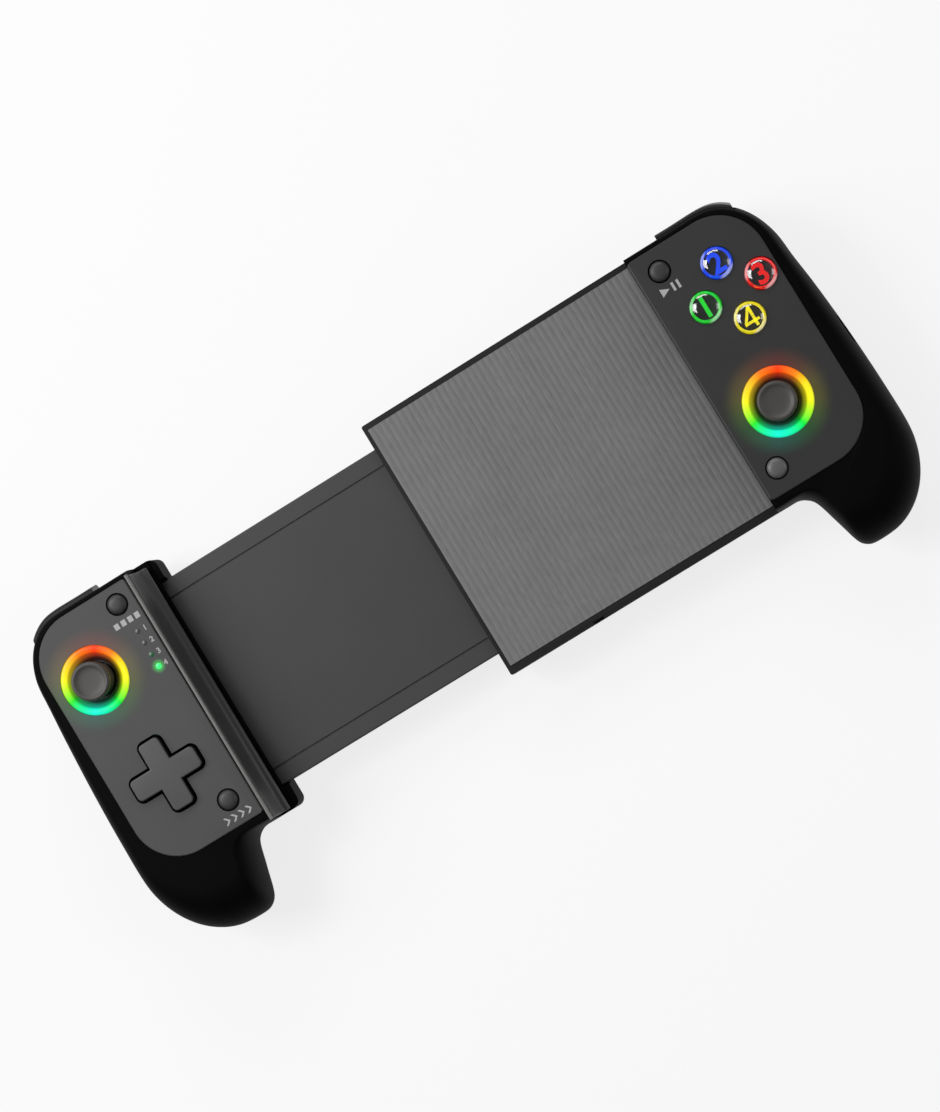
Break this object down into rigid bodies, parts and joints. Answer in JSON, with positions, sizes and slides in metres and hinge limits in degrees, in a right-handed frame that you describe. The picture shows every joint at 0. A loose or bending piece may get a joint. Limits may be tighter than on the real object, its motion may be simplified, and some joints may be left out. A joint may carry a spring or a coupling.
{
  "type": "mobile game controller",
  "caption": "Phone game controller: two grip halves with sticks, buttons and triggers on a sliding plate that clamps a phone over a ribbed pad.",
  "frame": {"origin": "below the middle of the open controller, level with the backs of the grips", "axes": "+X towards the half with the round buttons, +Y towards the shoulder buttons, +Z out of the face"},
  "size_m": [0.2622, 0.1099, 0.038],
  "materials": {
    "shell_plastic": "satin moulded",
    "cover_plastic": "soft matte",
    "button_plastic": "satin moulded",
    "clear_blue": "polished",
    "clear_red": "polished",
    "clear_yellow": "polished",
    "clear_green": "polished",
    "stick_rubber": "moulded rubber",
    "jaw_rubber": "moulded rubber",
    "pad_rubber": "fine ribs",
    "plate_plastic": "fine matte",
    "tray_plastic": "satin moulded",
    "light_guide": "lit, frosted",
    "lamp_guide": "lit, frosted",
    "board": "lacquered",
    "dome_rubber": "silicone",
    "inner_plastic": "moulded acetal",
    "steel": "zinc plated",
    "cell_wrap": "wrapped foil",
    "cable_film": "film"
  },
  "bodies": {
    "right_half": {"right_front_shell": "shell_plastic", "right_rear_shell": "shell_plastic", "right_face_cover": "cover_plastic", "right_light_ring": "light_guide", "right_stick_base": "inner_plastic", "right_circuit_board": "board", "right_dome_sheet": "dome_rubber", "right_jaw_pad": "jaw_rubber", "right_trigger_pin": "steel", "right_trigger_spring": "steel", "right_vibration_motor": "steel", "right_shell_screws": "steel", "tray_frame": "tray_plastic", "tray_bottom": "tray_plastic", "tray_screws": "steel", "phone_pad": "pad_rubber", "slide_rails": "steel", "pull_springs": "steel", "ribbon_cable": "cable_film", "battery": "cell_wrap", "charging_port": "steel"},
    "left_half": {"left_front_shell": "shell_plastic", "left_rear_shell": "shell_plastic", "left_face_cover": "cover_plastic", "left_light_ring": "light_guide", "left_stick_base": "inner_plastic", "left_circuit_board": "board", "left_dome_sheet": "dome_rubber", "left_jaw_pad": "jaw_rubber", "left_trigger_pin": "steel", "left_trigger_spring": "steel", "left_vibration_motor": "steel", "left_shell_screws": "steel", "player_light_guides": "lamp_guide", "slide_plate": "plate_plastic", "plate_lid": "tray_plastic", "plate_screws": "steel"},
    "left_stick_yoke": {"left_stick_yoke": "inner_plastic"},
    "left_stick_ball": {"left_stick_ball": "inner_plastic"},
    "left_stick": {"left_stick_shaft": "inner_plastic", "left_stick_cap": "stick_rubber"},
    "left_bumper": {"left_bumper": "button_plastic"},
    "left_trigger": {"left_trigger": "button_plastic"},
    "right_stick_yoke": {"right_stick_yoke": "inner_plastic"},
    "right_stick_ball": {"right_stick_ball": "inner_plastic"},
    "right_stick": {"right_stick_shaft": "inner_plastic", "right_stick_cap": "stick_rubber"},
    "right_bumper": {"right_bumper": "button_plastic"},
    "right_trigger": {"right_trigger": "button_plastic"},
    "select_button": {"select_button": "button_plastic"},
    "turbo_button": {"turbo_button": "button_plastic"},
    "start_button": {"start_button": "button_plastic"},
    "home_button": {"home_button": "button_plastic"},
    "blue_button": {"blue_button": "clear_blue"},
    "red_button": {"red_button": "clear_red"},
    "yellow_button": {"yellow_button": "clear_yellow"},
    "green_button": {"green_button": "clear_green"},
    "dpad_cap": {"dpad_cap": "button_plastic"},
    "dpad_rocker": {"dpad_rocker": "inner_plastic"}
  },
  "joints": [
    {"name": "half_slide", "type": "slide", "parent": "right_half", "child": "left_half", "axis": [1, 0, 0], "range_m": [0, 0.0725], "deforming": ["pull_springs", "ribbon_cable"]},
    {"name": "left_stick_tilt_x", "type": "hinge", "parent": "left_half", "child": "left_stick_yoke", "pos_m": [-0.1099, 0.0292, 0.024], "axis": [1, 0, 0], "range_deg": [-13, 13], "stiffness_Nm_per_rad": 0.04},
    {"name": "left_stick_tilt_y", "type": "hinge", "parent": "left_stick_yoke", "child": "left_stick_ball", "pos_m": [-0.1099, 0.0292, 0.024], "axis": [0, 1, 0], "range_deg": [-13, 13], "stiffness_Nm_per_rad": 0.04},
    {"name": "left_stick_press", "type": "slide", "parent": "left_stick_ball", "child": "left_stick", "axis": [0, 0, -1], "range_m": [0, 0.0004], "stiffness_N_per_m": 800},
    {"name": "right_stick_tilt_x", "type": "hinge", "parent": "right_half", "child": "right_stick_yoke", "pos_m": [0.1027, -0.0059, 0.024], "axis": [1, 0, 0], "range_deg": [-13, 13], "stiffness_Nm_per_rad": 0.04},
    {"name": "right_stick_tilt_y", "type": "hinge", "parent": "right_stick_yoke", "child": "right_stick_ball", "pos_m": [0.1027, -0.0059, 0.024], "axis": [0, 1, 0], "range_deg": [-13, 13], "stiffness_Nm_per_rad": 0.04},
    {"name": "right_stick_press", "type": "slide", "parent": "right_stick_ball", "child": "right_stick", "axis": [0, 0, -1], "range_m": [0, 0.0004], "stiffness_N_per_m": 800},
    {"name": "dpad_tilt_x", "type": "hinge", "parent": "left_half", "child": "dpad_rocker", "pos_m": [-0.1057, -0.0052, 0.0251], "axis": [1, 0, 0], "range_deg": [-4, 4], "stiffness_Nm_per_rad": 0.3},
    {"name": "dpad_tilt_y", "type": "hinge", "parent": "dpad_rocker", "child": "dpad_cap", "pos_m": [-0.1057, -0.0052, 0.0251], "axis": [0, 1, 0], "range_deg": [-4, 4], "stiffness_Nm_per_rad": 0.3},
    {"name": "select_press", "type": "slide", "parent": "left_half", "child": "select_button", "axis": [0, 0, -1], "range_m": [0, 0.0006], "stiffness_N_per_m": 600, "deforming": ["left_dome_sheet"]},
    {"name": "turbo_press", "type": "slide", "parent": "left_half", "child": "turbo_button", "axis": [0, 0, -1], "range_m": [0, 0.0006], "stiffness_N_per_m": 600},
    {"name": "start_press", "type": "slide", "parent": "right_half", "child": "start_button", "axis": [0, 0, -1], "range_m": [0, 0.0006], "stiffness_N_per_m": 600, "deforming": ["right_dome_sheet"]},
    {"name": "home_press", "type": "slide", "parent": "right_half", "child": "home_button", "axis": [0, 0, -1], "range_m": [0, 0.0006], "stiffness_N_per_m": 600},
    {"name": "blue_press", "type": "slide", "parent": "right_half", "child": "blue_button", "axis": [0, 0, -1], "range_m": [0, 0.0012], "stiffness_N_per_m": 500},
    {"name": "red_press", "type": "slide", "parent": "right_half", "child": "red_button", "axis": [0, 0, -1], "range_m": [0, 0.0012], "stiffness_N_per_m": 500},
    {"name": "yellow_press", "type": "slide", "parent": "right_half", "child": "yellow_button", "axis": [0, 0, -1], "range_m": [0, 0.0012], "stiffness_N_per_m": 500},
    {"name": "green_press", "type": "slide", "parent": "right_half", "child": "green_button", "axis": [0, 0, -1], "range_m": [0, 0.0012], "stiffness_N_per_m": 500},
    {"name": "left_bumper_press", "type": "hinge", "parent": "left_half", "child": "left_bumper", "pos_m": [-0.1002, 0.046, 0.0246], "axis": [0, 0, 1], "range_deg": [0, 2], "stiffness_Nm_per_rad": 0.5},
    {"name": "left_trigger_pull", "type": "hinge", "parent": "left_half", "child": "left_trigger", "pos_m": [-0.1078, 0.046, 0.0145], "axis": [-1, 0, 0], "range_deg": [0, 12], "stiffness_Nm_per_rad": 0.1, "deforming": ["left_trigger_spring"]},
    {"name": "right_bumper_press", "type": "hinge", "parent": "right_half", "child": "right_bumper", "pos_m": [0.1002, 0.046, 0.0246], "axis": [0, 0, -1], "range_deg": [0, 2], "stiffness_Nm_per_rad": 0.5},
    {"name": "right_trigger_pull", "type": "hinge", "parent": "right_half", "child": "right_trigger", "pos_m": [0.1078, 0.046, 0.0145], "axis": [-1, 0, 0], "range_deg": [0, 12], "stiffness_Nm_per_rad": 0.1, "deforming": ["right_trigger_spring"]}
  ]
}
